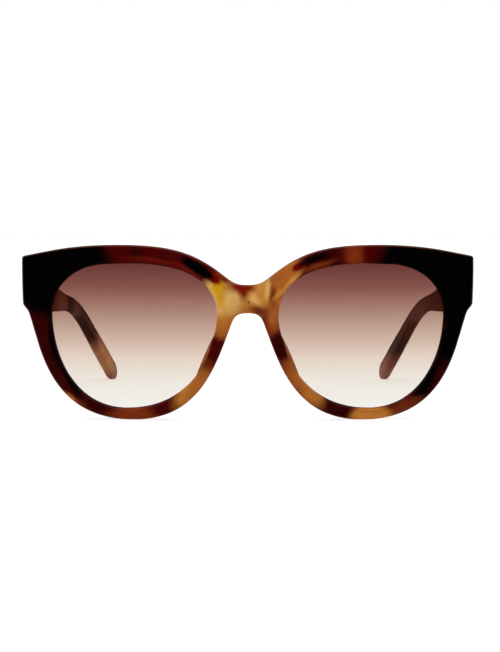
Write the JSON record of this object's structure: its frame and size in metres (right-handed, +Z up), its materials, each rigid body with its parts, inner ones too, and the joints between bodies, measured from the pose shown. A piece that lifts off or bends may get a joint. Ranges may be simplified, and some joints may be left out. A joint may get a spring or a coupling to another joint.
{
  "type": "cat eye sunglasses",
  "caption": "Tortoiseshell plastic sunglasses with large upswept cat eye rims, gradient lenses, wide hinge lugs and folding temples on knuckle hinges.",
  "frame": {"origin": "on the surface that the open sunglasses stand on, midway between the wearer's left and right and midway from the front face to the temple tips", "axes": "+X towards the wearer's left, +Y from the front back to the temple tips, +Z up"},
  "size_m": [0.1448, 0.147, 0.0554],
  "materials": {
    "front_acetate": "polished tortoiseshell acetate, dark maroon and black with amber and honey patches",
    "temple_acetate": "polished brown tortoiseshell acetate",
    "pad_acetate": "polished amber acetate",
    "lens": "clear polished lens with a gradient tint, burgundy brown above and almost clear below",
    "hinge_metal": "tumbled nickel silver",
    "screw_metal": "polished stainless steel",
    "core_wire_metal": "drawn nickel silver"
  },
  "bodies": {
    "front": {"front_frame": "front_acetate", "lens_left": "lens", "lens_right": "lens", "nose_pad_left": "pad_acetate", "nose_pad_right": "pad_acetate", "hinge_front_leaf_left": "hinge_metal", "hinge_front_leaf_right": "hinge_metal", "hinge_screw_left": "screw_metal", "hinge_screw_right": "screw_metal"},
    "left_temple": {"temple_left": "temple_acetate", "temple_core_wire_left": "core_wire_metal", "hinge_temple_leaf_left": "hinge_metal"},
    "right_temple": {"temple_right": "temple_acetate", "temple_core_wire_right": "core_wire_metal", "hinge_temple_leaf_right": "hinge_metal"}
  },
  "joints": [
    {"name": "left_temple_fold", "type": "hinge", "parent": "front", "child": "left_temple", "pos_m": [0.0663, -0.05578, 0.0435], "axis": [0, 0, 1], "range_deg": [0, 84]},
    {"name": "right_temple_fold", "type": "hinge", "parent": "front", "child": "right_temple", "pos_m": [-0.0663, -0.05578, 0.0435], "axis": [0, 0, -1], "range_deg": [0, 77]}
  ]
}
